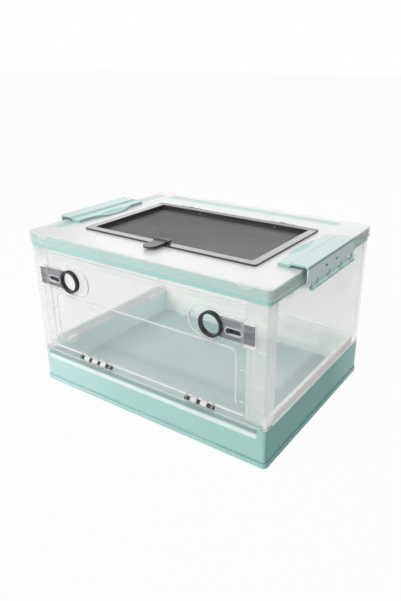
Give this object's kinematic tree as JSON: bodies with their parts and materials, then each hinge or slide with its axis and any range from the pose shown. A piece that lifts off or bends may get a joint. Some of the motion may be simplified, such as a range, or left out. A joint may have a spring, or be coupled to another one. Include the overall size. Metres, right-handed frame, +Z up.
{
  "type": "breeding box",
  "caption": "Collapsible clear breeding box on a mint tray, with a bolted drop door, swing-in end walls and a clipped lid with a hinged mesh window.",
  "frame": {"origin": "middle of the tray's underside", "axes": "+X to the right along the longest side, -Y out of the front door, +Z up"},
  "size_m": [0.383, 0.2775, 0.2268],
  "materials": {
    "mint": "satin moulded plastic",
    "clear": "clear, slightly frosted moulded plastic",
    "smoky": "smoky clear plastic",
    "black": "satin black plastic",
    "mesh": "fine dark net",
    "brass": "plain rivet heads"
  },
  "bodies": {
    "box": {"base_tray": "mint", "front_frame": "clear", "back_panel": "clear", "top_frame": "mint", "left_panel_lugs": "clear", "right_panel_lugs": "clear", "left_panel_pins": "clear", "right_panel_pins": "clear", "left_door_pin": "black", "right_door_pin": "black", "left_clip_bracket": "clear", "right_clip_bracket": "clear", "left_clip_pin": "mint", "right_clip_pin": "mint"},
    "door": {"front_door": "clear", "left_bolt_guide": "clear", "right_bolt_guide": "clear", "left_guide_peg": "black", "right_guide_peg": "black"},
    "left_bolt": {"left_bolt_plate": "smoky", "left_pull_ring": "black"},
    "right_bolt": {"right_bolt_plate": "smoky", "right_pull_ring": "black"},
    "left_end": {"left_end_panel": "clear"},
    "right_end": {"right_end_panel": "clear"},
    "lid": {"lid": "clear", "window_pins": "black"},
    "window": {"window_frame": "black", "mesh_screen": "mesh", "mesh_retainer": "black", "latch_pin": "black", "hinge_rivets": "brass"},
    "latch": {"window_latch": "black"},
    "left_clip": {"left_clip": "mint"},
    "right_clip": {"right_clip": "mint"}
  },
  "joints": [
    {"name": "door_swing", "type": "hinge", "parent": "box", "child": "door", "pos_m": [0, -0.1378, 0.0593], "axis": [1, 0, 0], "range_deg": [0, 110]},
    {"name": "left_bolt_slide", "type": "slide", "parent": "door", "child": "left_bolt", "axis": [1, 0, 0], "range_m": [0, 0.013]},
    {"name": "right_bolt_slide", "type": "slide", "parent": "door", "child": "right_bolt", "axis": [-1, 0, 0], "range_m": [0, 0.013]},
    {"name": "left_end_swing", "type": "hinge", "parent": "box", "child": "left_end", "pos_m": [-0.1755, 0, 0.1975], "axis": [0, -1, 0], "range_deg": [0, 85]},
    {"name": "right_end_swing", "type": "hinge", "parent": "box", "child": "right_end", "pos_m": [0.1755, 0, 0.1975], "axis": [0, 1, 0], "range_deg": [0, 85]},
    {"name": "lid_lift", "type": "slide", "parent": "box", "child": "lid", "axis": [0, 0, 1], "range_m": [0, 0.036]},
    {"name": "left_clip_swing", "type": "hinge", "parent": "box", "child": "left_clip", "pos_m": [-0.1885, 0, 0.1975], "axis": [0, -1, 0], "range_deg": [0, 160]},
    {"name": "right_clip_swing", "type": "hinge", "parent": "box", "child": "right_clip", "pos_m": [0.1885, 0, 0.1975], "axis": [0, 1, 0], "range_deg": [0, 160]},
    {"name": "window_swing", "type": "hinge", "parent": "lid", "child": "window", "pos_m": [0, 0.07325, 0.2216], "axis": [-1, 0, 0], "range_deg": [0, 100]},
    {"name": "latch_press", "type": "hinge", "parent": "window", "child": "latch", "pos_m": [0, -0.08325, 0.2249], "axis": [1, 0, 0], "range_deg": [0, 4], "stiffness_Nm_per_rad": 0.05, "springref_deg": -5.73}
  ],
  "couplings": [
    {"joint": "left_clip_swing", "follows": "lid_lift", "rad_per_m": 77.57},
    {"joint": "right_clip_swing", "follows": "lid_lift", "rad_per_m": 77.57}
  ]
}
